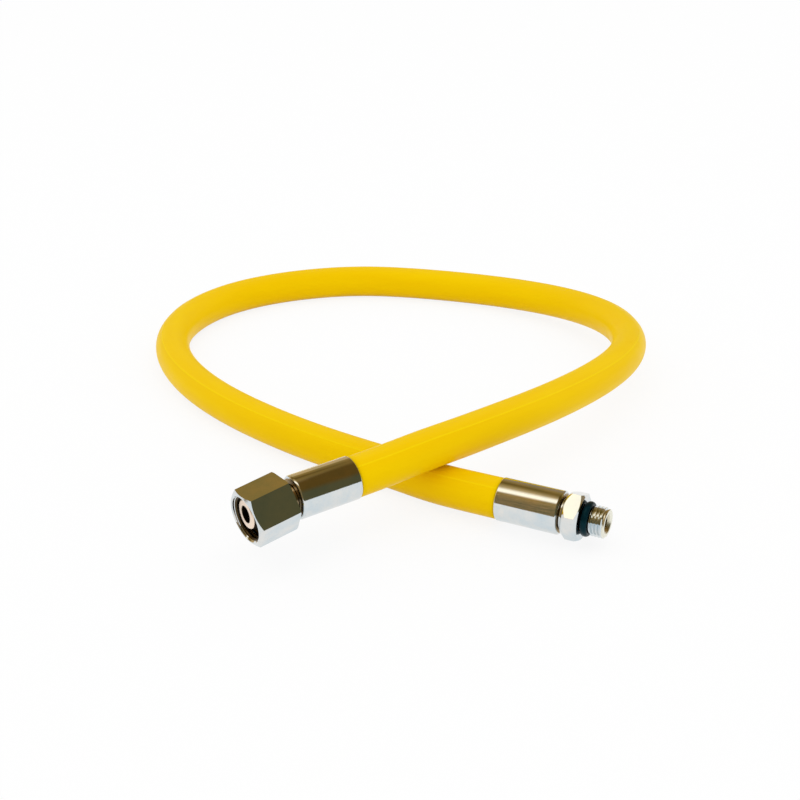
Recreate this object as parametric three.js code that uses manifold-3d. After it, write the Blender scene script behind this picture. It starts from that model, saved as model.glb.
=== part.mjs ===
// A low-pressure rubber hose lying in one open loop with its ends crossed: moulded rubber tube, a
// crimped fitting with a loose swivel nut on the upper end, a crimped male port fitting on the lower.
// Millimetres, +Z up, the floor at z = 0, the origin at the centre of the footprint.
import * as THREE from "three";
import { NURBSCurve } from "three/addons/curves/NURBSCurve.js";
import { mergeVertices } from "three/addons/utils/BufferGeometryUtils.js";
import Module from "manifold-3d";

// Rubber tube
const hoseDiameter = 13;
const hoseBore = 6.4;
const hoseSides = 12;
const boreSides = 8;
const hoseSteps = 76;
const crimpedDiameter = 11.4; // what the ferrule squeezes the rubber down to

// Room between pieces
const seatGap = 0.3; // pieces that touch on the real hose
const barbGap = 0.3; // rubber kept clear of the barbs

// How far a cutting body runs past what it cuts, and a joined body into what it joins
const past = 1;

// Crimped ferrules, one on each end
const ferruleWall = 0.85;
const ferruleDiameter = crimpedDiameter + 2 * (seatGap + ferruleWall);
const ferruleLength = 20.4;
const ferruleLip = 1.4; // the rim folded in behind the stem's collar
const ferruleBevel = 0.8;
const ferruleMouthBevel = 0.35;

// What both turned stems share
const stemBore = 4.4;
const tailDiameter = 6;
const barbHeight = 0.3;
const barbCount = 4;
const barbPitch = 3.2;
const barbBack = 0.12; // length of a barb's steep back
const tailLead = 1.6; // the taper at the tail's tip
const tailTipIn = 0.15; // inwards from the tail's radius
const neckDiameter = 8.4;
const collarDiameter = neckDiameter + 1.5; // behind the ferrule's lip, against the hose's cut end
const collarLength = 1.3;

// Female end: the nose that seals in the port, and the nut that pulls it there
const nutAcrossFlats = 16;
const nutLength = 13.9;
const nutStandOff = 2.45; // from the ferrule to the back of the nut
const nutLip = 3; // the back wall that pulls on the stem's flange
const nutLipBore = collarDiameter + 0.3; // passes over the collar, and loose enough to hang askew
const nutThreadMajor = 14.29;
const nutThreadMinor = 12.9;
const nutThreadPitch = 1.411;
const nutRelief = 2; // plain length left behind the thread, at least
const nutMouthDiameter = nutThreadMajor + 0.5; // of the countersink in front of the thread
const nutFrontChamfer = 0.25; // in from the flats
const nutBackChamfer = 0.45; // in from the corners
const nutDroop = THREE.MathUtils.degToRad(4.9); // the loose nut hangs down at its front
const nutYaw = THREE.MathUtils.degToRad(4.3); // and leans to the front of the loop
const flangeDiameter = nutThreadMinor - 0.6; // goes in through the thread
const flangeLength = 1.5;
const noseDiameter = 9.3;
const noseRecess = 0.9;
const noseBore = 5;
const noseBoreDepth = 2.2;
const noseEdge = 0.4;
const noseSealSection = 1.78;
const noseSealInner = 6.07;

// Male end: hexagon, port seal and thread
const collarStep = 0.9; // plain turned length between the ferrule and the hexagon
const collarStepDiameter = 10.4;
const hexAcrossFlats = 14;
const hexLength = 5.4;
const hexFrontChamfer = 0.35; // in from the flats
const hexBackChamfer = 1.5; // in from the corners
const hexBackSlope = 1.25; // a long taper towards the ferrule
const hexTurn = THREE.MathUtils.degToRad(9); // of a corner from straight up, to the front
const portSealWidth = 2.2;
const portSealSection = 1.6;
const portSealInner = 7.7;
const portSealRunOut = 0.2; // bare groove between the seal and the thread
const portThreadMajor = 9.525;
const portThreadMinor = 8.25;
const portThreadPitch = 1.058;
const portThreadTurns = 4;
const portThreadEnd = 0.7;
const portBoreMouth = 6.4;

// Facets
const roundSides = 36;
const sealSides = 10;

const chamferSlope = Math.tan(Math.PI / 6); // of the cones that take hexagons' corners off

// The hose's centreline from the female ferrule round to the male one: the control points of a
// smooth cubic curve, measured from a corner in front of the loop.
const loopCentre = [-1.05, 481.65, 0];
const hoseRoute = [
  [-14.15, 385.35, 18.65], [-5.91, 390.44, 19.28], [5.7, 399, 20.4], [18.35, 408.9, 20.35],
  [32.3, 421.3, 20.1], [51.45, 440.45, 18.85], [75.3, 470.1, 17.05], [90.6, 507.15, 13.7],
  [84.35, 545.9, 11.15], [59.05, 575.1, 7.85], [30, 590, 6.5], [15, 594, 6.5],
  [5, 596.5, 6.5], [-26, 601.5, 6.5], [-76.5, 581.5, 6.5], [-96.5, 531, 6.5],
  [-76.1, 480.85, 6.5], [-45.7, 448, 6.6], [-24.2, 430.55, 6.5], [-11.1, 421.4, 6.5],
  [0.4, 413.55, 6.5], [11.25, 404.8, 6.4], [22.9, 395.3, 8.35], [30.95, 391.3, 8.27],
];

const rubber = new THREE.MeshStandardMaterial({ color: 0xf0c808, roughness: 0.35, metalness: 0 });
const chrome = new THREE.MeshStandardMaterial({ color: 0xd9d7d0, roughness: 0.14, metalness: 1 });
const seal = new THREE.MeshStandardMaterial({ color: 0x0c1114, roughness: 0.4, metalness: 0 });

const wasm = await Module();
wasm.setup();

// A closed geometry as a solid that can be joined and cut.
function solid(geometry) {
  const bare = new THREE.BufferGeometry().setAttribute("position", geometry.getAttribute("position"));
  if (geometry.index) bare.setIndex(geometry.index);
  const merged = mergeVertices(bare, 1e-4);
  return new wasm.Manifold(new wasm.Mesh({
    numProp: 3,
    vertProperties: new Float32Array(merged.getAttribute("position").array),
    triVerts: new Uint32Array(merged.index.array),
  }));
}

// A named mesh of a solid.
function piece(name, made, material) {
  const { vertProperties, triVerts } = made.getMesh();
  const geometry = new THREE.BufferGeometry()
    .setAttribute("position", new THREE.BufferAttribute(vertProperties, 3))
    .setIndex(new THREE.BufferAttribute(triVerts, 1));
  const mesh = new THREE.Mesh(geometry, material);
  mesh.name = name;
  return mesh;
}

// A closed outline of [radius, z] points, run round the z axis.
function turned(outline, sides = roundSides) {
  const points = [...outline, outline[0]].map(([r, z]) => new THREE.Vector2(r, z));
  return solid(new THREE.LatheGeometry(points, sides).rotateX(Math.PI / 2));
}

// From the middle of a hexagon to its corners.
const cornerRadiusOf = (acrossFlats) => acrossFlats / Math.sqrt(3);

// A hexagonal bar from z = low to high, with one corner turned from +x towards +y.
function hexBar(acrossFlats, low, high, turn) {
  const cornerRadius = cornerRadiusOf(acrossFlats);
  const shape = new THREE.Shape();
  for (let corner = 0; corner < 6; corner++) {
    const angle = turn + (corner * Math.PI) / 3;
    const [x, y] = [cornerRadius * Math.cos(angle), cornerRadius * Math.sin(angle)];
    if (corner) shape.lineTo(x, y);
    else shape.moveTo(x, y);
  }
  const bar = new THREE.ExtrudeGeometry(shape, { depth: high - low, bevelEnabled: false });
  return solid(bar.translate(0, 0, low));
}

// The cone-ended blank that takes a hexagon's corners off, lowIn and highIn inwards from the corners.
function chamferBlank(cornerRadius, low, high, lowIn, highIn, lowSlope = chamferSlope) {
  return turned([
    [0, low], [cornerRadius - lowIn, low], [cornerRadius, low + lowIn * lowSlope],
    [cornerRadius, high - highIn * chamferSlope], [cornerRadius - highIn, high], [0, high],
  ]);
}

// The points of a row of V-shaped thread rings, from z = start upwards.
function threadRings(start, pitch, turns, from, to) {
  const points = [];
  for (let turn = 0; turn < turns; turn++) {
    const z = start + turn * pitch;
    points.push([from, z], [to, z + pitch * 0.5]);
  }
  points.push([from, start + turns * pitch]);
  return points;
}

// The barbed tail that both stems push into the hose, from its tip up to the collar.
const collarTop = -ferruleLip - seatGap;
const collarFoot = collarTop - collarLength;
const tailTip = collarFoot - seatGap - tailLead - barbCount * barbPitch;
function tailOutline() {
  const root = tailDiameter / 2;
  const points = [[stemBore / 2, tailTip], [root - tailTipIn, tailTip]];
  for (let barb = 0; barb < barbCount; barb++) {
    const z = tailTip + tailLead + barb * barbPitch;
    points.push([root + barbHeight, z], [root, z + barbBack]);
  }
  points.push(
    [root, collarFoot], [collarDiameter / 2, collarFoot],
    [collarDiameter / 2, collarTop], [neckDiameter / 2, collarTop],
  );
  return points;
}

// A ferrule, its closed end at z = 0 and its mouth towards the hose.
function ferrule() {
  const outer = ferruleDiameter / 2;
  const inner = outer - ferruleWall;
  const hole = neckDiameter / 2 + seatGap;
  return turned([
    [hole, 0], [hole, -ferruleLip], [inner, -ferruleLip], [inner, -ferruleLength],
    [outer - ferruleMouthBevel, -ferruleLength], [outer, -ferruleLength + ferruleMouthBevel],
    [outer, -ferruleBevel], [outer - ferruleBevel, 0],
  ]);
}

// A seal ring of oval section round the z axis.
function sealRing(innerDiameter, radial, axial, z) {
  const outline = [];
  const middle = (innerDiameter + radial) / 2;
  for (let side = 0; side < sealSides; side++) {
    const angle = (side * 2 * Math.PI) / sealSides;
    outline.push([middle + (radial / 2) * Math.cos(angle), z + (axial / 2) * Math.sin(angle)]);
  }
  return turned(outline);
}

// Female stem: flange for the nut to pull on, then the nose with its seal groove.
const nutBack = nutStandOff;
const nutSkew = Math.hypot(nutDroop, nutYaw);
const flangeFoot = nutBack + nutLip + seatGap + (flangeDiameter / 2) * Math.tan(nutSkew);
const flangeTop = flangeFoot + flangeLength;
const noseTip = nutBack + nutLength - noseRecess;
const noseSealMiddle = (flangeTop + noseTip) / 2;
function femaleStem() {
  const grooveRadius = noseSealInner / 2 - seatGap;
  const grooveHalf = noseSealSection / 2 + seatGap;
  return turned([
    ...tailOutline(),
    [neckDiameter / 2, flangeFoot], [flangeDiameter / 2, flangeFoot],
    [flangeDiameter / 2, flangeTop], [noseDiameter / 2, flangeTop],
    [noseDiameter / 2, noseSealMiddle - grooveHalf], [grooveRadius, noseSealMiddle - grooveHalf],
    [grooveRadius, noseSealMiddle + grooveHalf], [noseDiameter / 2, noseSealMiddle + grooveHalf],
    [noseDiameter / 2, noseTip - noseEdge], [noseDiameter / 2 - noseEdge, noseTip],
    [noseBore / 2, noseTip], [noseBore / 2, noseTip - noseBoreDepth],
    [stemBore / 2, noseTip - noseBoreDepth],
  ]);
}

// Swivel nut, its back at z = 0, bored, threaded inside and chamfered at both ends.
function swivelNut() {
  const cornerRadius = cornerRadiusOf(nutAcrossFlats);
  const faceRadius = nutAcrossFlats / 2 - nutFrontChamfer;
  const minor = nutThreadMinor / 2;
  const major = nutThreadMajor / 2;
  const mouth = nutMouthDiameter / 2;
  const threadTop = nutLength - (mouth - minor);
  const turns = Math.floor((threadTop - nutLip - nutRelief) / nutThreadPitch);
  const threadFoot = threadTop - turns * nutThreadPitch;
  const bore = turned([
    [0, -past], [nutLipBore / 2, -past], [nutLipBore / 2, nutLip], [major, nutLip],
    [major, threadFoot], ...threadRings(threadFoot, nutThreadPitch, turns, minor, major),
    [mouth + past, nutLength + past], [0, nutLength + past],
  ]);
  return hexBar(nutAcrossFlats, 0, nutLength, Math.PI / 6)
    .intersect(chamferBlank(cornerRadius, 0, nutLength, nutBackChamfer, cornerRadius - faceRadius))
    .subtract(bore);
}

// Male stem: turned neck, chamfered hexagon, seal groove and thread in one piece.
const hexFoot = collarStep + seatGap;
const hexTop = hexFoot + hexLength;
const portSealMiddle = hexTop + seatGap + portSealWidth / 2;
const threadStart = portSealMiddle + portSealWidth / 2 + portSealRunOut;
const portEnd = threadStart + portThreadTurns * portThreadPitch + portThreadEnd;
function maleStem() {
  const grooveRadius = portSealInner / 2 - seatGap;
  const major = portThreadMajor / 2;
  const minor = portThreadMinor / 2;
  const step = collarStepDiameter / 2;
  const hexMiddle = (hexFoot + hexTop) / 2;
  const body = turned([
    [0, tailTip], ...tailOutline().slice(1), [neckDiameter / 2, seatGap], [step, seatGap],
    [step, hexMiddle], [grooveRadius, hexMiddle], [grooveRadius, threadStart],
    ...threadRings(threadStart, portThreadPitch, portThreadTurns, minor, major),
    [minor, portEnd], [0, portEnd],
  ]);
  const cornerRadius = cornerRadiusOf(hexAcrossFlats);
  const frontIn = cornerRadius - (hexAcrossFlats / 2 - hexFrontChamfer);
  const hexagon = hexBar(hexAcrossFlats, hexFoot, hexTop, hexTurn)
    .intersect(chamferBlank(cornerRadius, hexFoot, hexTop, hexBackChamfer, frontIn, hexBackSlope));
  const flare = (portBoreMouth - stemBore) / 2;
  const bore = turned([
    [0, tailTip - past], [stemBore / 2, tailTip - past], [stemBore / 2, portEnd - flare],
    [portBoreMouth / 2 + past, portEnd + past], [0, portEnd + past],
  ]);
  return body.add(hexagon).subtract(bore);
}

// The hose's curve, clamped at both ends.
const degree = 3;
const controlPoints = hoseRoute.map(([x, y, z]) =>
  new THREE.Vector4(x - loopCentre[0], y - loopCentre[1], z - loopCentre[2], 1));
const spans = controlPoints.length - degree;
const knots = [];
for (let i = -degree; i <= spans + degree; i++) knots.push(Math.min(Math.max(i, 0), spans));
const route = new NURBSCurve(degree, knots, controlPoints);
route.arcLengthDivisions = 1200;

// One end of the hose: where the rubber meets the ferrule's mouth, and the way out along the axis.
function hoseEnd(t, outwards) {
  const z = route.getTangent(t).multiplyScalar(outwards).normalize();
  const y = new THREE.Vector3().crossVectors(z, new THREE.Vector3(0, 0, 1)).normalize();
  const x = new THREE.Vector3().crossVectors(y, z);
  return { at: route.getPoint(t), turn: new THREE.Matrix4().makeBasis(x, y, z) };
}
const femaleEnd = hoseEnd(0, -1);
const maleEnd = hoseEnd(1, 1);

// The group of one end's fitting: its own z axis points out of the hose, its x axis points up, and
// z = 0 is at the closed end of the ferrule.
function fitting(end) {
  const group = new THREE.Group();
  group.quaternion.setFromRotationMatrix(end.turn);
  group.position.set(0, 0, seatGap + ferruleLength).applyMatrix4(end.turn).add(end.at);
  return group;
}

// The rubber tube, with each end squeezed down and stretched over the stem's tail.
function hose() {
  const outline = (radius, sides, path) => {
    for (let side = 0; side < sides; side++) {
      const angle = (side * 2 * Math.PI) / sides;
      const [x, y] = [radius * Math.cos(angle), radius * Math.sin(angle)];
      if (side) path.lineTo(x, y);
      else path.moveTo(x, y);
    }
    return path;
  };
  const section = outline(hoseDiameter / 2, hoseSides, new THREE.Shape());
  section.holes.push(outline(hoseBore / 2, boreSides, new THREE.Path()));
  const tube = new THREE.ExtrudeGeometry(section, { steps: hoseSteps, extrudePath: route });
  const inner = tailDiameter / 2 + barbHeight + barbGap;
  const outer = crimpedDiameter / 2;
  const cutEnd = ferruleLength + collarFoot;
  let made = solid(tube);
  for (const end of [femaleEnd, maleEnd]) {
    const squeezed = turned([[inner, -past], [outer, -past], [outer, cutEnd], [inner, cutEnd]]);
    const place = end.turn.clone().setPosition(end.at);
    made = made.add(squeezed.transform(place.elements));
  }
  return made;
}

const femaleFitting = fitting(femaleEnd);
femaleFitting.add(piece("female_ferrule", ferrule(), chrome));
femaleFitting.add(piece("female_stem", femaleStem(), chrome));
femaleFitting.add(piece(
  "nose_o_ring",
  sealRing(noseSealInner, noseSealSection, noseSealSection, noseSealMiddle),
  seal,
));

// The nut hangs askew from the middle of its lip.
const nutHang = new THREE.Group();
nutHang.position.z = nutBack + nutLip / 2;
nutHang.rotation.set(nutYaw, -nutDroop, 0);
const nut = piece("swivel_nut", swivelNut(), chrome);
nut.position.z = -nutLip / 2;
nutHang.add(nut);
femaleFitting.add(nutHang);

const maleFitting = fitting(maleEnd);
maleFitting.add(piece("male_ferrule", ferrule(), chrome));
maleFitting.add(piece("male_stem", maleStem(), chrome));
maleFitting.add(piece(
  "port_o_ring",
  sealRing(portSealInner, portSealSection, portSealWidth, portSealMiddle),
  seal,
));

const lowPressureHose = new THREE.Group();
lowPressureHose.add(piece("hose", hose(), rubber), femaleFitting, maleFitting);

export default lowPressureHose;
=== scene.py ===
"""A yellow low-pressure rubber hose lying in one crossed loop on a white studio floor.

The upper end carries a chromed ferrule and a loose swivel nut, the lower end a chromed ferrule and
a threaded port fitting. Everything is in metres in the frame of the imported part: +Z up, the floor
at z = 0, and the camera looking along +Y.
"""

import math

import bmesh
import bpy
from mathutils import Matrix, Vector


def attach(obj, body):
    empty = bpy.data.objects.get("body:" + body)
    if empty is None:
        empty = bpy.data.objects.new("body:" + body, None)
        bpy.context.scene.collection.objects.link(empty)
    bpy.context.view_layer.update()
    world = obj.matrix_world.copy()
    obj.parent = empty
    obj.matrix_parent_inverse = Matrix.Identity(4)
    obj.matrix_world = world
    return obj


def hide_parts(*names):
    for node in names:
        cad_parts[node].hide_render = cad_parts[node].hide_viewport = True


MM = 0.001

# Photograph's viewpoint
CAMERA_PLACE = Vector((1.05, -481.65, 215.7)) * MM
CAMERA_DOWN = math.radians(24)
SENSOR_WIDTH = 36
FOCAL_PIXELS = 1433
FRAME_PIXELS = 800

# Rubber tube
HOSE_DIAMETER = 13 * MM
SQUEEZED_DIAMETER = 11.4 * MM  # inside the ferrules
HOSE_BORE = 7.2 * MM
HOSE_SIDES = 64
LINE_ANGLE = math.radians(54)  # of the raised line, up from one side
LINE_HALF_ANGLE = math.radians(2.2)
LINE_HEIGHT = 0.1 * MM
SEAT_GAP = 0.3 * MM
CURVE_ORDER = 4
CURVE_STEPS = 14

# The centreline's control points, from the nut end round to the port end, in metres from the spot
# on the floor below the camera
LOOP_CENTRE = Vector((-0.00105, 0.48165, 0))
HOSE_ROUTE = [
    (-0.01415, 0.38535, 0.01865), (-0.00591, 0.39044, 0.01928), (0.0057, 0.399, 0.0204),
    (0.01835, 0.4089, 0.02035), (0.0323, 0.4213, 0.0201), (0.05145, 0.44045, 0.01885),
    (0.0753, 0.4701, 0.01705), (0.0906, 0.50715, 0.0137), (0.08435, 0.5459, 0.01115),
    (0.05905, 0.5751, 0.00785), (0.03, 0.59, 0.0065), (0.015, 0.594, 0.0065),
    (0.005, 0.5965, 0.0065), (-0.026, 0.6015, 0.0065), (-0.0765, 0.5815, 0.0065),
    (-0.0965, 0.531, 0.0065), (-0.0761, 0.48085, 0.0065), (-0.0457, 0.448, 0.0066),
    (-0.0242, 0.43055, 0.0065), (-0.0111, 0.4214, 0.0065), (0.0004, 0.41355, 0.0065),
    (0.01125, 0.4048, 0.0064), (0.0229, 0.3953, 0.00835), (0.03095, 0.3913, 0.00827),
]

# Ferrules
FERRULE_DIAMETER = 13.7 * MM
FERRULE_LENGTH = 20.4 * MM
FERRULE_WALL = 0.85 * MM
FERRULE_LIP = 1.4 * MM
FERRULE_BEVEL = 0.8 * MM
FERRULE_MOUTH_BEVEL = 0.35 * MM

# Stems
STEM_BORE = 4.4 * MM
TAIL_DIAMETER = 6 * MM
TAIL_TIP = -17.7 * MM
TAIL_TIP_IN = 0.15 * MM
BARB_START = 1.6 * MM
BARB_HEIGHT = 0.3 * MM
BARB_DROP = 0.12 * MM
BARB_PITCH = 3.2 * MM
BARB_COUNT = 4
NECK_DIAMETER = 8.4 * MM
COLLAR_DIAMETER = 9.9 * MM
COLLAR_FOOT = -3 * MM
COLLAR_TOP = -1.7 * MM

# Nose that seals in the inlet
FLANGE_DIAMETER = 12.3 * MM
FLANGE_FOOT = 6.45 * MM
FLANGE_TOP = 7.95 * MM
NOSE_DIAMETER = 9.3 * MM
NOSE_TIP = 15.45 * MM
NOSE_BORE = 5 * MM
NOSE_BORE_DEPTH = 2.2 * MM
NOSE_EDGE = 0.4 * MM
NOSE_SEAL_MIDDLE = 11.7 * MM
NOSE_SEAL_SECTION = 1.78 * MM
NOSE_SEAL_INNER = 6.07 * MM

# Swivel nut
NUT_ACROSS_FLATS = 16 * MM
NUT_LENGTH = 13.9 * MM
NUT_BACK = 2.45 * MM
NUT_LIP = 3 * MM
NUT_LIP_BORE = 10.2 * MM
NUT_THREAD_MAJOR = 14.29 * MM
NUT_THREAD_MINOR = 12.9 * MM
NUT_THREAD_PITCH = 1.411 * MM
NUT_THREAD_FOOT = 5.9 * MM
NUT_MOUTH_IN = 0.25 * MM
NUT_FRONT_CHAMFER = 0.25 * MM
NUT_BACK_CHAMFER = 0.45 * MM
NUT_DROOP = math.radians(4.9)
NUT_YAW = math.radians(4.3)

# Port fitting
STEP_DIAMETER = 10.4 * MM
HEX_ACROSS_FLATS = 14 * MM
HEX_FOOT = 1.2 * MM
HEX_TOP = 6.6 * MM
HEX_FRONT_CHAMFER = 0.35 * MM
HEX_BACK_CHAMFER = 1.5 * MM
HEX_BACK_SLOPE = 1.25
HEX_TURN = math.radians(9)
CHAMFER_SLOPE = math.tan(math.pi / 6)
PORT_SEAL_MIDDLE = 8 * MM
PORT_SEAL_WIDTH = 2.2 * MM
PORT_SEAL_SECTION = 1.6 * MM
PORT_SEAL_INNER = 7.7 * MM
PORT_THREAD_START = 9.3 * MM
PORT_THREAD_MAJOR = 9.525 * MM
PORT_THREAD_MINOR = 8.25 * MM
PORT_THREAD_PITCH = 1.058 * MM
PORT_END = 14.23 * MM
PORT_BORE_MOUTH = 6.4 * MM

# Fineness
TURNED_STEPS = 96
THREAD_STEPS = 48
THREAD_FOOT_SHARE = 0.48  # of the pitch, from a ridge's middle to its foot
THREAD_CREST_SHARE = 0.08
THREAD_SUNK = 0.1 * MM
THREAD_END_IN = 0.02 * MM
SEAL_SIDES = 20
SHOULDER_STEPS = 6
EDGE_ROUNDING = 0.12 * MM
ROUNDED_ANGLE = math.radians(25)
JOIN_DISTANCE = 1e-7

# Where bare brass, cut faces and painted bore shade show on the fittings, in millimetres, and their
# colours
FERRULE_BORE = 6.1
NUT_BORE = 6.95
STEM_HOLE = 2.75
CUT_FACE = 13.6
NO_FACE = 100.0
BARE_BRASS = (0.42, 0.28, 0.11)
PALE_BRASS = (0.68, 0.64, 0.5)
# Near-black brass: painted shade deep in the nut's bore and the nose's hole, darker than the brass
# itself
SHADE_PAINTED_BRASS = (0.07, 0.05, 0.022)
NOSE_FACE = (0.9, 0.74, 0.6)
PORT_FACE = (0.86, 0.85, 0.74)

# Rubber and plating colours, each between two levels
YELLOW = (0.85, 0.53, 0.0008, 1), (0.88, 0.58, 0.001, 1)
YELLOW_DUST = (0.82, 0.6, 0.01, 1)
# Lighter yellow of the raised line on the upper side: a painted highlight
YELLOW_LINE_PAINTED_HIGHLIGHT = (0.9, 0.62, 0.002, 1)
PLATING = (0.57, 0.66, 0.71, 1), (0.76, 0.75, 0.72, 1)
# Colour of the small pits in the plating: real pits, tinted teal as a painted reflection
PIT_TINT_PAINTED_REFLECTION = (0.36, 0.44, 0.45, 1)
SEAL = (0.0006, 0.008, 0.012, 1), (0.0015, 0.017, 0.025, 1)

# Studio. Each side of the room is painted by height: 0 is the front horizon and 0.5 overhead
FLOOR_HALF = 3
FLOOR_CLEAR = 0.86
PAPER = (0.9, 0.9, 0.9, 1), (0.93, 0.93, 0.93, 1)
WALLS_RADIUS = 2.9
OLIVE = (0.1, 0.09, 0.04)
UMBER = (0.13, 0.07, 0.013)
BROWN = (0.32, 0.2, 0.05)
DUN = (0.35, 0.25, 0.14)
TAN = (0.64, 0.44, 0.2)
LAMPLIGHT = (1.6, 1.4, 1.1)
LEFT_WALL = [
    (0.2, OLIVE), (0.38, BROWN), (0.43, LAMPLIGHT), (0.48, LAMPLIGHT), (0.55, TAN),
    (0.64, BROWN), (0.7, UMBER), (0.78, BROWN), (0.81, BROWN), (0.84, TAN),
]
RIGHT_WALL = [(0.24, OLIVE), (0.36, UMBER), (0.58, UMBER), (0.74, BROWN), (0.87, DUN)]
SHELF = (0.75, 0.46, 0.2, 1)
SHELF_ACROSS = (54.0, -27.0, 0.0)
SHELF_ROWS = 30.0
LAMP_PLACE = (0, -0.1, 1.2)
LAMP_SIZE = (1.2, 0.8)
LAMP_POWER = 1.2

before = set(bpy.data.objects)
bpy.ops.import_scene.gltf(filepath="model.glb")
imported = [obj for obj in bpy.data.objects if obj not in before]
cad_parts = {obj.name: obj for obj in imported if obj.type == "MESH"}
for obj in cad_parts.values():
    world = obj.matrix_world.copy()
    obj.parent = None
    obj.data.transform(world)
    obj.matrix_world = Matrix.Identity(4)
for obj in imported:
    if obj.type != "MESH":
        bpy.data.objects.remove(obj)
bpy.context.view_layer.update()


# Camera

def make_camera():
    """The photograph's viewpoint."""
    data = bpy.data.cameras.new("photo_camera")
    data.sensor_width = SENSOR_WIDTH
    data.lens = SENSOR_WIDTH * FOCAL_PIXELS / FRAME_PIXELS
    data.clip_start = 0.01
    data.clip_end = 50
    camera = bpy.data.objects.new("photo_camera", data)
    camera.location = CAMERA_PLACE
    camera.rotation_euler = (math.pi / 2 - CAMERA_DOWN, 0, 0)
    bpy.context.scene.collection.objects.link(camera)
    bpy.context.scene.camera = camera


# Shared modelling steps

def piece(name, mesh, material, body):
    """An object of the finished mesh that rides on a body and takes a slot's finish."""
    made = bpy.data.objects.new(name, mesh)
    bpy.context.scene.collection.objects.link(made)
    mesh.materials.clear()
    mesh.materials.append(material)
    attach(made, body)
    return made


def mesh_of(bm, name):
    """The bmesh as a mesh, its doubles merged and its faces pointing outwards."""
    bmesh.ops.remove_doubles(bm, verts=bm.verts, dist=JOIN_DISTANCE)
    bmesh.ops.recalc_face_normals(bm, faces=bm.faces)
    mesh = bpy.data.meshes.new(name)
    bm.to_mesh(mesh)
    bm.free()
    return mesh


def with_modifiers(name, mesh, *settings):
    """The mesh after a row of modifiers, each given as its type and its settings."""
    holder = bpy.data.objects.new(name, mesh)
    bpy.context.scene.collection.objects.link(holder)
    for kind, values in settings:
        modifier = holder.modifiers.new(kind.lower(), kind)
        for key, value in values.items():
            setattr(modifier, key, value)
    evaluated = holder.evaluated_get(bpy.context.evaluated_depsgraph_get())
    made = bpy.data.meshes.new_from_object(evaluated)
    bpy.data.objects.remove(holder)
    return made


def edges_rounded(name, mesh):
    """The mesh with its sharp edges rounded a little and smooth faces between them."""
    mesh.shade_smooth()
    bevel = {
        "width": EDGE_ROUNDING, "segments": 2, "limit_method": "ANGLE",
        "angle_limit": ROUNDED_ANGLE, "harden_normals": True,
    }
    return with_modifiers(name, mesh, ("BEVEL", bevel))


def turned(outline):
    """A bmesh of a closed [radius, z] outline spun round the z axis."""
    bm = bmesh.new()
    verts = [bm.verts.new((r, 0, z)) for r, z in outline]
    edges = [bm.edges.new((a, b)) for a, b in zip(verts, verts[1:] + verts[:1])]
    bmesh.ops.spin(
        bm, geom=verts + edges, cent=(0, 0, 0), axis=(0, 0, 1),
        angle=math.tau, steps=TURNED_STEPS, use_merge=True,
    )
    return bm


def hexagon_bar(across_flats, low, high, corner_angle):
    """A bmesh of a hexagonal bar with one corner at the given angle from +X."""
    bm = bmesh.new()
    corners = bmesh.ops.create_circle(
        bm, cap_ends=True, segments=6, radius=across_flats / math.sqrt(3),
    )["verts"]
    first = corners[0].co
    turn = corner_angle - math.atan2(first.y, first.x)
    bmesh.ops.rotate(bm, verts=bm.verts, matrix=Matrix.Rotation(turn, 3, "Z"))
    bmesh.ops.translate(bm, verts=bm.verts, vec=(0, 0, low))
    up = bmesh.ops.extrude_face_region(bm, geom=bm.faces[:])
    top = [v for v in up["geom"] if isinstance(v, bmesh.types.BMVert)]
    bmesh.ops.translate(bm, verts=top, vec=(0, 0, high - low))
    return bm


def chamfer_blank(corner_radius, low, high, low_in, high_in, low_slope=CHAMFER_SLOPE):
    """A bmesh of the cone-ended blank that takes a hexagonal bar's corners off."""
    return turned([
        (0, low), (corner_radius - low_in, low), (corner_radius, low + low_in * low_slope),
        (corner_radius, high - high_in * CHAMFER_SLOPE), (corner_radius - high_in, high),
        (0, high),
    ])


def cut_by(name, bm, *others):
    """The bmesh after a row of booleans, each given as an operation and a bmesh."""
    tools = []
    for operation, other in others:
        tool = bpy.data.objects.new(name + "_tool", mesh_of(other, name + "_tool"))
        bpy.context.scene.collection.objects.link(tool)
        tools.append((operation, tool))
    settings = [
        ("BOOLEAN", {"operation": operation, "object": tool, "solver": "EXACT"})
        for operation, tool in tools
    ]
    made = with_modifiers(name, mesh_of(bm, name), *settings)
    for _, tool in tools:
        bpy.data.meshes.remove(tool.data)
    return made


def thread_ridge(name, root, crest, pitch, low, high):
    """The V-shaped ridge of a screw thread, which rises out of its wall and sinks back into it."""
    bm = bmesh.new()
    sunk = math.copysign(THREAD_SUNK, root - crest)
    outline = [
        (root + sunk, -THREAD_FOOT_SHARE), (crest, -THREAD_CREST_SHARE),
        (crest, THREAD_CREST_SHARE), (root + sunk, THREAD_FOOT_SHARE),
    ]
    start = low - pitch / 2
    verts = [bm.verts.new((r, 0, start + share * pitch)) for r, share in outline]
    edges = [bm.edges.new((a, b)) for a, b in zip(verts, verts[1:] + verts[:1])]
    turns = (high - low) / pitch + 1
    steps = round(turns * THREAD_STEPS)
    bmesh.ops.spin(
        bm, geom=verts + edges, cent=(0, 0, 0), axis=(0, 0, 1),
        angle=math.tau * turns, steps=steps, dvec=(0, 0, turns * pitch / steps),
    )
    outwards = math.copysign(1, crest - root)
    for vert in bm.verts:
        radius = vert.co.xy.length
        room = max(min(vert.co.z - low, high - vert.co.z), 0)
        most = root + outwards * (room - THREAD_SUNK / 2)
        if outwards * radius > outwards * most:
            vert.co.xy *= most / radius
    for end, way in ((low + THREAD_END_IN, -1), (high - THREAD_END_IN, 1)):
        bmesh.ops.bisect_plane(
            bm, geom=bm.verts[:] + bm.edges[:] + bm.faces[:], plane_co=(0, 0, end),
            plane_no=(0, 0, way), clear_outer=True,
        )
    ends = [e for e in bm.edges if e.is_boundary]
    bmesh.ops.holes_fill(bm, edges=ends, sides=0)
    return mesh_of(bm, name)


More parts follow.
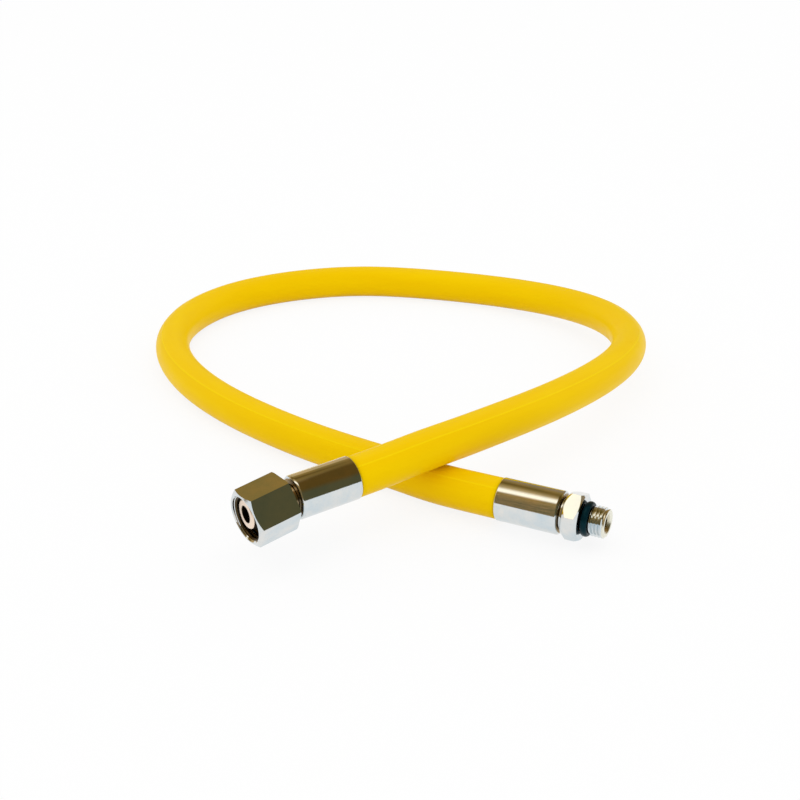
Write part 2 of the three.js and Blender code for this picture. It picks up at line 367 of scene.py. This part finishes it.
def placed(mesh, place):
    """The mesh set in its place. Each point keeps its own place on the fitting, in millimetres."""
    own = mesh.attributes.new("fitting_place", "FLOAT_VECTOR", "POINT")
    for vert, value in zip(mesh.vertices, own.data):
        value.vector = vert.co / MM
    mesh.transform(place)
    return mesh


def joined(name, *meshes):
    """One mesh of several closed shells."""
    bm = bmesh.new()
    for mesh in meshes:
        bm.from_mesh(mesh)
    made = bpy.data.meshes.new(name)
    bm.to_mesh(made)
    bm.free()
    return made


# Hose

def centreline():
    """Points along the clamped cubic curve that the rubber follows."""
    curve = bpy.data.curves.new("hose_route", "CURVE")
    curve.dimensions = "3D"
    spline = curve.splines.new("NURBS")
    spline.points.add(len(HOSE_ROUTE) - 1)
    for point, place in zip(spline.points, HOSE_ROUTE):
        point.co = (*(Vector(place) - LOOP_CENTRE), 1)
    spline.order_u = CURVE_ORDER
    spline.use_endpoint_u = True
    spline.resolution_u = CURVE_STEPS
    holder = bpy.data.objects.new("hose_route", curve)
    bpy.context.scene.collection.objects.link(holder)
    evaluated = holder.evaluated_get(bpy.context.evaluated_depsgraph_get())
    line = bpy.data.meshes.new_from_object(evaluated)
    points = [v.co.copy() for v in line.vertices]
    bpy.data.objects.remove(holder)
    return points


def frame_along(direction, place):
    """A frame whose Z axis is the direction and whose X axis points up."""
    z = direction.normalized()
    y = z.cross(Vector((0, 0, 1))).normalized()
    x = y.cross(z)
    made = Matrix((x, y, z)).transposed().to_4x4()
    made.translation = place
    return made


def hose_rings(points):
    """Each ring of the rubber as its place, direction and radius, with both ends squeezed in."""
    full, squeezed = HOSE_DIAMETER / 2, SQUEEZED_DIAMETER / 2
    hidden = FERRULE_LENGTH + COLLAR_FOOT
    start = (points[0] - points[1]).normalized()
    end = (points[-1] - points[-2]).normalized()
    rings = [
        (points[0] + start * hidden, -start, squeezed),
        (points[0] + start * SEAT_GAP * 2, -start, squeezed),
        (points[0] + start * SEAT_GAP, -start, full - SEAT_GAP),
    ]
    for before, here, after in zip(points[:1] + points, points, points[1:] + points[-1:]):
        rings.append((here, after - before, full))
    rings += [
        (points[-1] + end * SEAT_GAP, end, full - SEAT_GAP),
        (points[-1] + end * SEAT_GAP * 2, end, squeezed),
        (points[-1] + end * hidden, end, squeezed),
    ]
    return rings


def make_hose(points, material):
    """The rubber tube: one ring, with the raised line on it, carried along the centreline."""
    bm = bmesh.new()
    around = bm.verts.layers.float_vector.new("hose_place")
    rings = hose_rings(points)
    first = bmesh.ops.create_circle(bm, segments=HOSE_SIDES, radius=1)["verts"][0]
    turn = math.pi / 2 - LINE_ANGLE - math.atan2(first.co.y, first.co.x)
    bmesh.ops.rotate(bm, verts=bm.verts, matrix=Matrix.Rotation(turn, 3, "Z"))
    top = first.co.copy()
    bmesh.ops.subdivide_edges(bm, edges=first.link_edges[:], cuts=1)
    crest = min(bm.verts, key=lambda vert: (vert.co - top).length)
    crest.co *= 1 + LINE_HEIGHT / (HOSE_DIAMETER / 2)
    ring, edges = bm.verts[:], bm.edges[:]
    travelled = 0
    before = None
    for place, direction, radius in rings:
        here = frame_along(direction, place) @ Matrix.Diagonal((radius, radius, 1, 1))
        if before is None:
            bmesh.ops.transform(bm, matrix=here, verts=ring)
        else:
            travelled += (place - before.translation).length
            new = bmesh.ops.extrude_edge_only(bm, edges=edges)["geom"]
            ring = [g for g in new if isinstance(g, bmesh.types.BMVert)]
            edges = [g for g in new if isinstance(g, bmesh.types.BMEdge)]
            edges = [e for e in edges if all(v in set(ring) for v in e.verts)]
            bmesh.ops.transform(bm, matrix=here @ before.inverted(), verts=ring)
        for vert in ring:
            out = here.inverted() @ vert.co
            vert[around] = (
                out.x * HOSE_DIAMETER / 2 / MM, out.y * HOSE_DIAMETER / 2 / MM, travelled / MM,
            )
        before = here
    ends = [e for e in bm.edges if e.is_boundary]
    caps = bmesh.ops.holes_fill(bm, edges=ends, sides=0)["faces"]
    bmesh.ops.inset_region(bm, faces=caps, thickness=(SQUEEZED_DIAMETER - HOSE_BORE) / 2)
    mesh = mesh_of(bm, "rubber_hose")
    mesh.shade_smooth()
    made = piece("rubber_hose", mesh, material, "hose")
    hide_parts("hose")
    return made, [place for place, _, _ in rings]


# Metal and seals

def tail_outline():
    """The barbed tail that both stems push into the hose, up to the collar."""
    root = TAIL_DIAMETER / 2
    points = [(STEM_BORE / 2, TAIL_TIP), (root - TAIL_TIP_IN, TAIL_TIP)]
    for barb in range(BARB_COUNT):
        z = TAIL_TIP + BARB_START + barb * BARB_PITCH
        points += [(root + BARB_HEIGHT, z), (root, z + BARB_DROP)]
    return points + [
        (root, COLLAR_FOOT), (COLLAR_DIAMETER / 2, COLLAR_FOOT),
        (COLLAR_DIAMETER / 2, COLLAR_TOP), (NECK_DIAMETER / 2, COLLAR_TOP),
    ]


def ferrule(name):
    """A ferrule with its closed end at z = 0 and its mouth towards the hose."""
    outer = FERRULE_DIAMETER / 2
    inner = outer - FERRULE_WALL
    hole = NECK_DIAMETER / 2 + SEAT_GAP
    turns = [step * math.pi / 2 / SHOULDER_STEPS for step in range(SHOULDER_STEPS + 1)]
    mesh = mesh_of(turned([
        (hole, 0), (hole, -FERRULE_LIP), (inner, -FERRULE_LIP), (inner, -FERRULE_LENGTH),
        (outer - FERRULE_MOUTH_BEVEL, -FERRULE_LENGTH),
        (outer, -FERRULE_LENGTH + FERRULE_MOUTH_BEVEL),
        *[(outer - FERRULE_BEVEL * (1 - math.cos(turn)), FERRULE_BEVEL * (math.sin(turn) - 1))
          for turn in turns],
    ]), name)
    return edges_rounded(name, mesh)


def seal_ring(name, inner_diameter, radial, axial, z):
    """A seal ring of oval section."""
    middle = (inner_diameter + radial) / 2
    turns = [side * math.tau / SEAL_SIDES for side in range(SEAL_SIDES)]
    mesh = mesh_of(turned([
        (middle + radial / 2 * math.cos(turn), z + axial / 2 * math.sin(turn)) for turn in turns
    ]), name)
    mesh.shade_smooth()
    return mesh


def nut_end_stem():
    """Flange for the nut to pull on, then the nose with its seal groove."""
    groove = NOSE_SEAL_INNER / 2 - SEAT_GAP
    half = NOSE_SEAL_SECTION / 2 + SEAT_GAP
    nose = NOSE_DIAMETER / 2
    mesh = mesh_of(turned([
        *tail_outline(),
        (NECK_DIAMETER / 2, FLANGE_FOOT), (FLANGE_DIAMETER / 2, FLANGE_FOOT),
        (FLANGE_DIAMETER / 2, FLANGE_TOP), (nose, FLANGE_TOP),
        (nose, NOSE_SEAL_MIDDLE - half), (groove, NOSE_SEAL_MIDDLE - half),
        (groove, NOSE_SEAL_MIDDLE + half), (nose, NOSE_SEAL_MIDDLE + half),
        (nose, NOSE_TIP - NOSE_EDGE), (nose - NOSE_EDGE, NOSE_TIP),
        (NOSE_BORE / 2, NOSE_TIP), (NOSE_BORE / 2, NOSE_TIP - NOSE_BORE_DEPTH),
        (STEM_BORE / 2, NOSE_TIP - NOSE_BORE_DEPTH),
    ]), "nut_end_stem")
    return edges_rounded("nut_end_stem", mesh)


def swivel_nut():
    """The nut with its back at z = 0: a chamfered hexagon, its stepped bore and its thread."""
    corner = NUT_ACROSS_FLATS / math.sqrt(3)
    front_in = corner - (NUT_ACROSS_FLATS / 2 - NUT_FRONT_CHAMFER)
    major = NUT_THREAD_MAJOR / 2
    past = 1 * MM
    bar = hexagon_bar(NUT_ACROSS_FLATS, 0, NUT_LENGTH, math.pi / 6)
    blank = chamfer_blank(corner, 0, NUT_LENGTH, NUT_BACK_CHAMFER, front_in)
    bore = turned([
        (0, -past), (NUT_LIP_BORE / 2, -past), (NUT_LIP_BORE / 2, NUT_LIP), (major, NUT_LIP),
        (major, NUT_LENGTH - NUT_MOUTH_IN),
        (major + NUT_MOUTH_IN + past, NUT_LENGTH + past), (0, NUT_LENGTH + past),
    ])
    shell = cut_by("nut_shell", bar, ("INTERSECT", blank), ("DIFFERENCE", bore))
    ridge = thread_ridge(
        "nut_thread", major, NUT_THREAD_MINOR / 2, NUT_THREAD_PITCH,
        NUT_THREAD_FOOT, NUT_LENGTH - NUT_MOUTH_IN,
    )
    return joined("swivel_nut_body", edges_rounded("nut_shell", shell), ridge)


def port_end_stem():
    """Turned neck, chamfered hexagon, seal groove and thread."""
    groove = PORT_SEAL_INNER / 2 - SEAT_GAP
    core = PORT_THREAD_MINOR / 2
    step = STEP_DIAMETER / 2
    middle = (HEX_FOOT + HEX_TOP) / 2
    flare = (PORT_BORE_MOUTH - STEM_BORE) / 2
    body = mesh_of(turned([
        *tail_outline(), (NECK_DIAMETER / 2, SEAT_GAP), (step, SEAT_GAP), (step, middle),
        (groove, middle), (groove, PORT_THREAD_START), (core, PORT_THREAD_START),
        (core, PORT_END), (PORT_BORE_MOUTH / 2, PORT_END), (STEM_BORE / 2, PORT_END - flare),
    ]), "port_stem_core")
    corner = HEX_ACROSS_FLATS / math.sqrt(3)
    front_in = corner - (HEX_ACROSS_FLATS / 2 - HEX_FRONT_CHAMFER)
    inside = (STEM_BORE / 2 + groove) / 2
    bar = hexagon_bar(HEX_ACROSS_FLATS, HEX_FOOT, HEX_TOP, HEX_TURN)
    blank = chamfer_blank(corner, HEX_FOOT, HEX_TOP, HEX_BACK_CHAMFER, front_in, HEX_BACK_SLOPE)
    hole = turned([(0, 0), (inside, 0), (inside, PORT_END), (0, PORT_END)])
    hexagon = cut_by("port_hexagon", bar, ("INTERSECT", blank), ("DIFFERENCE", hole))
    ridge = thread_ridge(
        "port_thread", core, PORT_THREAD_MAJOR / 2, PORT_THREAD_PITCH, PORT_THREAD_START, PORT_END,
    )
    return joined(
        "port_end_stem", edges_rounded("port_stem_core", body),
        edges_rounded("port_hexagon", hexagon), ridge,
    )


# Materials

def tree_of(name):
    """A new material with only its output, and its node tree."""
    material = bpy.data.materials.new(name)
    material.use_nodes = True
    material.node_tree.nodes.clear()
    return material, material.node_tree


def add(tree, kind, inputs=None, **settings):
    """A node with its settings, and its inputs set to values or joined to other nodes' outputs."""
    made = tree.nodes.new(kind)
    for key, value in settings.items():
        setattr(made, key, value)
    for key, value in (inputs or {}).items():
        if isinstance(value, bpy.types.NodeSocket):
            tree.links.new(value, made.inputs[key])
        else:
            made.inputs[key].default_value = value
    return made


def group_of(name, inputs, outputs):
    """A new node group, its input node and its output node."""
    tree = bpy.data.node_groups.new(name, "ShaderNodeTree")
    for socket, kind, value in inputs:
        made = tree.interface.new_socket(socket, in_out="INPUT", socket_type=kind)
        if value is not None:
            made.default_value = value
    for socket, kind in outputs:
        tree.interface.new_socket(socket, in_out="OUTPUT", socket_type=kind)
    return tree, tree.nodes.new("NodeGroupInput"), tree.nodes.new("NodeGroupOutput")


def cloudy_group():
    """A soft uneven value between two levels: handling marks, uneven colour, uneven gloss."""
    tree, given, out = group_of(
        "cloudy_value",
        [("Place", "NodeSocketVector", None), ("Scale", "NodeSocketFloat", 1.0),
         ("Low", "NodeSocketFloat", 0.0), ("High", "NodeSocketFloat", 1.0)],
        [("Value", "NodeSocketFloat")],
    )
    noise = add(tree, "ShaderNodeTexNoise", {
        "Vector": given.outputs["Place"], "Scale": given.outputs["Scale"],
        "Detail": 4.0, "Roughness": 0.6,
    })
    spread = add(tree, "ShaderNodeMapRange", {
        "Value": noise.outputs["Fac"], "From Min": 0.3, "From Max": 0.7,
        "To Min": given.outputs["Low"], "To Max": given.outputs["High"],
    })
    tree.links.new(spread.outputs["Result"], out.inputs["Value"])
    return tree


def specks_group():
    """Scattered small specks: pits in plating, dust on rubber."""
    tree, given, out = group_of(
        "scattered_specks",
        [("Place", "NodeSocketVector", None), ("Scale", "NodeSocketFloat", 1.0),
         ("Size", "NodeSocketFloat", 0.15)],
        [("Mask", "NodeSocketFloat")],
    )
    cells = add(tree, "ShaderNodeTexVoronoi", {
        "Vector": given.outputs["Place"], "Scale": given.outputs["Scale"],
    })
    edge = add(tree, "ShaderNodeMapRange", {
        "Value": cells.outputs["Distance"], "From Min": given.outputs["Size"],
        "From Max": 0.0, "To Min": 0.0, "To Max": 1.0,
    })
    patchy = add(tree, "ShaderNodeTexNoise", {
        "Vector": given.outputs["Place"], "Scale": 0.35, "Detail": 2.0,
    })
    where = add(tree, "ShaderNodeMapRange", {
        "Value": patchy.outputs["Fac"], "From Min": 0.48, "From Max": 0.62,
    })
    mask = add(tree, "ShaderNodeMath", {
        0: edge.outputs["Result"], 1: where.outputs["Result"],
    }, operation="MULTIPLY")
    tree.links.new(mask.outputs["Value"], out.inputs["Mask"])
    return tree


def between(tree, factor, low, high):
    """The colour between two, or between two outputs, at a factor."""
    return add(tree, "ShaderNodeMix", {
        "Factor": factor, "A": low, "B": high,
    }, data_type="RGBA").outputs["Result"]


def use(tree, group, inputs):
    """A node group placed in a material with its own values."""
    return add(tree, "ShaderNodeGroup", inputs, node_tree=group)


def rubber_material(cloudy, specks):
    """Yellow rubber with a faint wrap pattern, uneven gloss and a fine raised line along it,
    painted lighter as a highlight.
    """
    material, tree = tree_of("yellow_rubber")
    place = add(tree, "ShaderNodeAttribute", attribute_name="hose_place").outputs["Vector"]
    drawn = add(tree, "ShaderNodeMapping", {"Vector": place, "Scale": (1, 1, 0.12)})
    tint = use(tree, cloudy, {
        "Place": drawn.outputs["Vector"], "Scale": 0.16, "Low": 0.0, "High": 1.0,
    })
    colour = between(tree, tint.outputs["Value"], *YELLOW)
    dust = use(tree, specks, {"Place": place, "Scale": 2.4, "Size": 0.1})
    dusty = between(tree, dust.outputs["Mask"], colour, YELLOW_DUST)
    axes = add(tree, "ShaderNodeSeparateXYZ", {"Vector": place})
    around = add(tree, "ShaderNodeMath", {
        0: axes.outputs["X"], 1: axes.outputs["Y"],
    }, operation="ARCTAN2")
    line = add(tree, "ShaderNodeMath", {
        0: around.outputs["Value"], 1: LINE_ANGLE, 2: LINE_HALF_ANGLE,
    }, operation="COMPARE")
    # The raised line is real relief; its lighter colour is a painted highlight
    lined_painted_highlight = between(tree, line.outputs["Value"], dusty, YELLOW_LINE_PAINTED_HIGHLIGHT)
    gloss = use(tree, cloudy, {"Place": place, "Scale": 0.25, "Low": 0.3, "High": 0.4})
    wrap = add(tree, "ShaderNodeTexNoise", {"Vector": place, "Scale": 1.4, "Detail": 5.0})
    height = add(tree, "ShaderNodeMath", {
        0: line.outputs["Value"], 1: 0.5, 2: wrap.outputs["Fac"],
    }, operation="MULTIPLY_ADD")
    relief = add(tree, "ShaderNodeBump", {
        "Height": height.outputs["Value"], "Strength": 0.12, "Distance": 0.1 * MM,
    })
    shader = add(tree, "ShaderNodeBsdfPrincipled", {
        "Base Color": lined_painted_highlight, "Roughness": gloss.outputs["Value"],
        "IOR": 1.5, "Specular IOR Level": 0.06, "Specular Tint": (1, 0.72, 0.02, 1),
        "Sheen Weight": 0.35, "Sheen Roughness": 0.4, "Sheen Tint": (1, 0.72, 0.0, 1),
        "Normal": relief.outputs["Normal"],
    })
    add(tree, "ShaderNodeOutputMaterial", {"Surface": shader.outputs["BSDF"]})
    return material


def plating_group(cloudy, specks):
    """Bright plating over turned brass: fine turning rings, a little haze and a few pits outside,
    the pits tinted as painted reflection, bare brass inside the bore, near-black where the bore
    colour paints shade, and a duller cut face at the front.
    """
    tree, given, out = group_of(
        "plated_brass",
        [("Place", "NodeSocketVector", None), ("Bore Radius", "NodeSocketFloat", 0.0),
         ("Bore Color", "NodeSocketColor", None), ("Face From", "NodeSocketFloat", 100.0),
         ("Face Color", "NodeSocketColor", None)],
        [("Color", "NodeSocketColor"), ("Roughness", "NodeSocketFloat"),
         ("Height", "NodeSocketFloat")],
    )
    place = given.outputs["Place"]
    haze = use(tree, cloudy, {"Place": place, "Scale": 0.5, "Low": 0.05, "High": 0.1})
    pits = use(tree, specks, {"Place": place, "Scale": 1.6, "Size": 0.2})
    tint = use(tree, cloudy, {"Place": place, "Scale": 0.14, "Low": 0.0, "High": 1.0})
    colour = between(tree, tint.outputs["Value"], *PLATING)
    # Pits coloured with a teal tint: real pits, their colour a painted reflection
    pitted_painted_reflection = between(tree, pits.outputs["Mask"], colour, PIT_TINT_PAINTED_REFLECTION)
    axes = add(tree, "ShaderNodeSeparateXYZ", {"Vector": place})
    face = add(tree, "ShaderNodeMath", {
        0: axes.outputs["Z"], 1: given.outputs["Face From"],
    }, operation="GREATER_THAN")
    faced = between(tree, face.outputs["Value"], pitted_painted_reflection, given.outputs["Face Color"])
    across = add(tree, "ShaderNodeCombineXYZ", {"X": axes.outputs["X"], "Y": axes.outputs["Y"]})
    radius = add(tree, "ShaderNodeVectorMath", {0: across.outputs["Vector"]}, operation="LENGTH")
    # Inside this radius the bore colour is used; where it is near black, it is painted shade in the
    # recess
    bore = add(tree, "ShaderNodeMath", {
        0: radius.outputs["Value"], 1: given.outputs["Bore Radius"],
    }, operation="LESS_THAN")
    bored = between(tree, bore.outputs["Value"], faced, given.outputs["Bore Color"])
    worked = add(tree, "ShaderNodeMath", {
        0: face.outputs["Value"], 1: bore.outputs["Value"],
    }, operation="MAXIMUM")
    dull = add(tree, "ShaderNodeMix", {
        "Factor": worked.outputs["Value"], "A": haze.outputs["Value"], "B": 0.34,
    }, data_type="FLOAT")
    along = add(tree, "ShaderNodeMapping", {"Vector": place, "Scale": (0.02, 0.02, 5.0)})
    rings = add(tree, "ShaderNodeTexNoise", {
        "Vector": along.outputs["Vector"], "Scale": 1.0, "Detail": 3.0,
    })
    height = add(tree, "ShaderNodeMath", {
        0: pits.outputs["Mask"], 1: -2.0, 2: rings.outputs["Fac"],
    }, operation="MULTIPLY_ADD")
    tree.links.new(bored, out.inputs["Color"])
    tree.links.new(dull.outputs["Result"], out.inputs["Roughness"])
    tree.links.new(height.outputs["Value"], out.inputs["Height"])
    return tree


def plated_material(name, plating, bore_radius, bore_colour, face_from, face_colour):
    """Plated brass whose bore and front face are left as they were cut; a near-black bore colour is
    painted shade.
    """
    material, tree = tree_of(name)
    place = add(tree, "ShaderNodeAttribute", attribute_name="fitting_place").outputs["Vector"]
    looks = use(tree, plating, {
        "Place": place, "Bore Radius": bore_radius, "Bore Color": (*bore_colour, 1),
        "Face From": face_from, "Face Color": (*face_colour, 1),
    })
    relief = add(tree, "ShaderNodeBump", {
        "Height": looks.outputs["Height"], "Strength": 0.06, "Distance": 0.02 * MM,
    })
    shader = add(tree, "ShaderNodeBsdfPrincipled", {
        "Base Color": looks.outputs["Color"], "Metallic": 1.0,
        "Roughness": looks.outputs["Roughness"], "Normal": relief.outputs["Normal"],
    })
    add(tree, "ShaderNodeOutputMaterial", {"Surface": shader.outputs["BSDF"]})
    return material


def seal_material(cloudy, specks):
    """Dark seal rubber with a soft gloss."""
    material, tree = tree_of("seal_rubber")
    place = add(tree, "ShaderNodeAttribute", attribute_name="fitting_place").outputs["Vector"]
    tint = use(tree, cloudy, {"Place": place, "Scale": 0.8, "Low": 0.0, "High": 1.0})
    colour = between(tree, tint.outputs["Value"], *SEAL)
    gloss = use(tree, cloudy, {"Place": place, "Scale": 1.2, "Low": 0.26, "High": 0.38})
    dust = use(tree, specks, {"Place": place, "Scale": 2.5, "Size": 0.1})
    relief = add(tree, "ShaderNodeBump", {
        "Height": dust.outputs["Mask"], "Strength": 0.1, "Distance": 0.05 * MM,
    })
    shader = add(tree, "ShaderNodeBsdfPrincipled", {
        "Base Color": colour, "Roughness": gloss.outputs["Value"],
        "IOR": 1.5, "Specular IOR Level": 0.2, "Specular Tint": (0.2, 0.75, 0.9, 1),
        "Normal": relief.outputs["Normal"],
    })
    add(tree, "ShaderNodeOutputMaterial", {"Surface": shader.outputs["BSDF"]})
    return material


# Studio

def clear_rays(tree):
    """Whether the camera, metal or glass sees this: they show the studio as clean white."""
    path = add(tree, "ShaderNodeLightPath")
    seen = add(tree, "ShaderNodeMath", {
        0: path.outputs["Is Camera Ray"], 1: path.outputs["Is Glossy Ray"],
    }, operation="MAXIMUM")
    clear = add(tree, "ShaderNodeMath", {
        0: seen.outputs["Value"], 1: path.outputs["Is Transmission Ray"],
    }, operation="MAXIMUM")
    return clear.outputs["Value"]


def floor_material():
    """White paper that shows as clean white to the camera and keeps a soft shadow."""
    material, tree = tree_of("white_floor")
    place = add(tree, "ShaderNodeTexCoord").outputs["Object"]
    grain = add(tree, "ShaderNodeTexNoise", {"Vector": place, "Scale": 60.0, "Detail": 3.0})
    tone = between(tree, grain.outputs["Fac"], *PAPER)
    paper = add(tree, "ShaderNodeBsdfDiffuse", {"Color": tone})
    lit = add(tree, "ShaderNodeEmission", {"Color": (1, 1, 1, 1), "Strength": 1.0})
    share = add(tree, "ShaderNodeMath", {
        0: clear_rays(tree), 1: FLOOR_CLEAR,
    }, operation="MULTIPLY")
    both = add(tree, "ShaderNodeMixShader", {
        0: share.outputs["Value"], 1: paper.outputs["BSDF"], 2: lit.outputs["Emission"],
    })
    add(tree, "ShaderNodeOutputMaterial", {"Surface": both.outputs["Shader"]})
    return material


def ramp_of(tree, value, stops):
    """The colours of a ramp of stops, each given as its position and its colour."""
    ramp = add(tree, "ShaderNodeValToRGB", {"Fac": value})
    elements = ramp.color_ramp.elements
    while len(elements) < len(stops):
        elements.new(1.0)
    for element, (position, colour) in zip(elements, stops):
        element.position = position
        element.color = (*colour, 1)
    return ramp.outputs["Color"]


def walls_material():
    """The dim brown room behind the lights, as a colour that changes with height and side."""
    material, tree = tree_of("studio_walls")
    place = add(tree, "ShaderNodeTexCoord").outputs["Object"]
    axes = add(tree, "ShaderNodeSeparateXYZ", {"Vector": place})
    front = add(tree, "ShaderNodeMath", {0: axes.outputs["Y"], 1: -1.0}, operation="MULTIPLY")
    angle = add(tree, "ShaderNodeMath", {
        0: axes.outputs["Z"], 1: front.outputs["Value"],
    }, operation="ARCTAN2")
    share = add(tree, "ShaderNodeMath", {0: angle.outputs["Value"], 1: math.pi}, operation="DIVIDE")
    left = ramp_of(tree, share.outputs["Value"], LEFT_WALL)
    right = ramp_of(tree, share.outputs["Value"], RIGHT_WALL)
    side = add(tree, "ShaderNodeMapRange", {
        "Value": axes.outputs["X"], "From Min": -0.5, "From Max": 0.5,
    }, interpolation_type="SMOOTHSTEP")
    along = add(tree, "ShaderNodeVectorMath", {
        0: place, 1: SHELF_ACROSS,
    }, operation="DOT_PRODUCT")
    rows = add(tree, "ShaderNodeMath", {
        0: share.outputs["Value"], 1: SHELF_ROWS,
    }, operation="MULTIPLY")
    spot = add(tree, "ShaderNodeCombineXYZ", {
        "X": along.outputs["Value"], "Y": rows.outputs["Value"],
    })
    clutter = add(tree, "ShaderNodeTexNoise", {
        "Vector": spot.outputs["Vector"], "Scale": 1.0, "Detail": 4.0, "Roughness": 0.65,
    })
    objects = add(tree, "ShaderNodeMapRange", {
        "Value": clutter.outputs["Fac"], "From Min": 0.47, "From Max": 0.66,
    })
    shelf = add(tree, "ShaderNodeMapRange", {
        "Value": share.outputs["Value"], "From Min": 0.42, "From Max": 0.38,
    })
    cluttered = add(tree, "ShaderNodeMath", {
        0: objects.outputs["Result"], 1: shelf.outputs["Result"],
    }, operation="MULTIPLY")
    shelved = between(tree, cluttered.outputs["Value"], left, SHELF)
    room = between(tree, side.outputs["Result"], shelved, right)
    glow = add(tree, "ShaderNodeEmission", {"Color": room, "Strength": 1.0})
    add(tree, "ShaderNodeOutputMaterial", {"Surface": glow.outputs["Emission"]})
    return material


def make_world():
    """Even white light that the camera, metal and glass see as white too."""
    world = bpy.data.worlds.new("white_studio")
    bpy.context.scene.world = world
    world.use_nodes = True
    tree = world.node_tree
    tree.nodes.clear()
    light = add(tree, "ShaderNodeBackground", {"Color": (1, 1, 1, 1), "Strength": 1.0})
    add(tree, "ShaderNodeOutputWorld", {"Surface": light.outputs["Background"]})


def make_floor():
    """A wide white floor under the hose."""
    bm = bmesh.new()
    bmesh.ops.create_grid(bm, x_segments=1, y_segments=1, size=FLOOR_HALF)
    mesh = bpy.data.meshes.new("floor")
    bm.to_mesh(mesh)
    bm.free()
    mesh.materials.append(floor_material())
    floor = bpy.data.objects.new("floor", mesh)
    bpy.context.scene.collection.objects.link(floor)


def make_walls():
    """The room's walls and ceiling, which only the metal's reflections show."""
    bm = bmesh.new()
    bmesh.ops.create_uvsphere(bm, u_segments=48, v_segments=24, radius=WALLS_RADIUS)
    bmesh.ops.bisect_plane(
        bm, geom=bm.verts[:] + bm.edges[:] + bm.faces[:], plane_co=(0, 0, 0), plane_no=(0, 0, -1),
        clear_outer=True,
    )
    mesh = bpy.data.meshes.new("studio_walls")
    bm.to_mesh(mesh)
    bm.free()
    mesh.materials.append(walls_material())
    walls = bpy.data.objects.new("studio_walls", mesh)
    bpy.context.scene.collection.objects.link(walls)
    walls.visible_camera = False
    walls.visible_diffuse = False
    walls.visible_shadow = False
    walls.visible_transmission = False


def make_lamp():
    """A soft rectangular lamp over the middle of the loop, which the metal doesn't show."""
    data = bpy.data.lights.new("overhead_lamp", "AREA")
    data.shape = "RECTANGLE"
    data.size, data.size_y = LAMP_SIZE
    data.energy = LAMP_POWER
    lamp = bpy.data.objects.new("overhead_lamp", data)
    lamp.location = LAMP_PLACE
    lamp.rotation_euler = (-lamp.location).to_track_quat("-Z", "Y").to_euler()
    lamp.visible_glossy = False
    bpy.context.scene.collection.objects.link(lamp)


def main():
    """The camera, the hose, the fittings on its ends, and the studio."""
    bpy.context.scene.view_settings.view_transform = "Standard"
    make_camera()

    cloudy, specks = cloudy_group(), specks_group()
    rubber = rubber_material(cloudy, specks)
    plating = plating_group(cloudy, specks)
    ferrule_chrome = plated_material(
        "ferrule_chrome", plating, FERRULE_BORE, BARE_BRASS, NO_FACE, BARE_BRASS,
    )
    # The nut's bore and the nose's hole get near-black brass: painted shade
    nut_chrome = plated_material("nut_chrome", plating, NUT_BORE, SHADE_PAINTED_BRASS, NO_FACE, BARE_BRASS)
    nose_chrome = plated_material(
        "nose_chrome", plating, STEM_HOLE, SHADE_PAINTED_BRASS, CUT_FACE, NOSE_FACE,
    )
    port_chrome = plated_material(
        "port_chrome", plating, STEM_HOLE, PALE_BRASS, CUT_FACE, PORT_FACE,
    )
    seal = seal_material(cloudy, specks)

    points = centreline()
    hose, route = make_hose(points, rubber)

    to_mouth = SEAT_GAP + FERRULE_LENGTH
    nut_way = (points[0] - points[1]).normalized()
    port_way = (points[-1] - points[-2]).normalized()
    nut_end = frame_along(nut_way, points[0] + nut_way * to_mouth)
    port_end = frame_along(port_way, points[-1] + port_way * to_mouth)
    askew = Matrix.Rotation(NUT_YAW, 4, "X") @ Matrix.Rotation(-NUT_DROOP, 4, "Y")
    hung_at = nut_end @ Matrix.Translation((0, 0, NUT_BACK + NUT_LIP / 2))
    hang = hung_at @ askew @ Matrix.Translation((0, 0, -NUT_LIP / 2))

    def fitted(name, mesh, place, material, body, node):
        """A finished piece in its place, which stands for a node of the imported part."""
        made = piece(name, placed(mesh, place), material, body)
        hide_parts(node)
        return made

    fitted("nut_end_ferrule", ferrule("nut_end_ferrule"), nut_end, ferrule_chrome, "hose",
           "female_ferrule")
    fitted("nut_end_stem", nut_end_stem(), nut_end, nose_chrome, "hose", "female_stem")
    fitted("nose_seal", seal_ring(
        "nose_seal", NOSE_SEAL_INNER, NOSE_SEAL_SECTION, NOSE_SEAL_SECTION, NOSE_SEAL_MIDDLE,
    ), nut_end, seal, "hose", "nose_o_ring")
    fitted("swivel_nut_body", swivel_nut(), hang, nut_chrome, "nut", "swivel_nut")
    port_pieces = [
        fitted("port_end_ferrule", ferrule("port_end_ferrule"), port_end, ferrule_chrome, "hose",
               "male_ferrule"),
        fitted("port_end_stem", port_end_stem(), port_end, port_chrome, "hose",
               "male_stem"),
        fitted("port_seal", seal_ring(
            "port_seal", PORT_SEAL_INNER, PORT_SEAL_SECTION, PORT_SEAL_WIDTH, PORT_SEAL_MIDDLE,
        ), port_end, seal, "hose", "port_o_ring"),
    ]

    make_world()
    make_floor()
    make_walls()
    make_lamp()


main()
